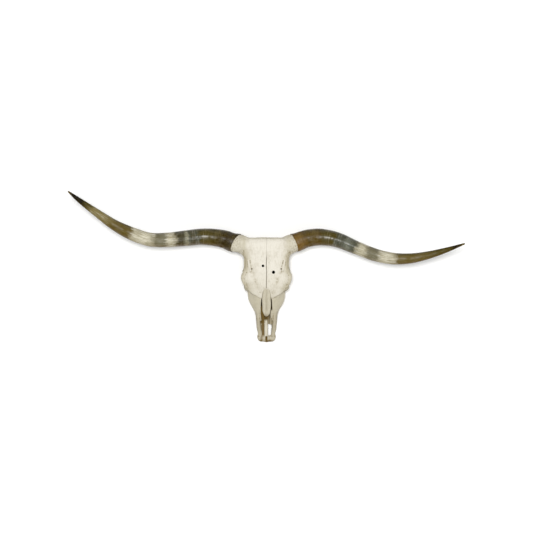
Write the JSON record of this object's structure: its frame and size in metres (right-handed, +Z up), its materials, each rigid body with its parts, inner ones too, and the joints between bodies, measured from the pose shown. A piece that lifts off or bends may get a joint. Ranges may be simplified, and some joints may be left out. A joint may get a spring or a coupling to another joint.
{
  "type": "longhorn steer skull",
  "caption": "Cleaned cattle skull without its lower jaw, with a flat pale forehead, deep eye sockets and very wide, lightly curved horns, lying forehead up.",
  "frame": {"origin": "on the floor under the centre of the whole skull's box, horns included", "axes": "+X towards the animal's left horn tip, -Y towards the muzzle, +Z up"},
  "size_m": [1.8161, 0.7004, 0.2635],
  "materials": {
    "bone": "dry, bleached bone, cream on the forehead and tan to brown on the face and round the nose",
    "horn": "half-polished horn, streaked from olive brown and slate to cream"
  },
  "bodies": {
    "root": {"frontal_left": "bone", "frontal_right": "bone", "lacrimal_left": "bone", "lacrimal_right": "bone", "maxilla_left": "bone", "maxilla_right": "bone", "nasal_left": "bone", "nasal_right": "bone", "premaxilla_left": "bone", "premaxilla_right": "bone", "temporal_left": "bone", "temporal_right": "bone", "zygomatic_left": "bone", "zygomatic_right": "bone", "occipital": "bone", "sphenoid": "bone", "horn_sheath_left": "horn", "horn_sheath_right": "horn"}
  },
  "joints": []
}
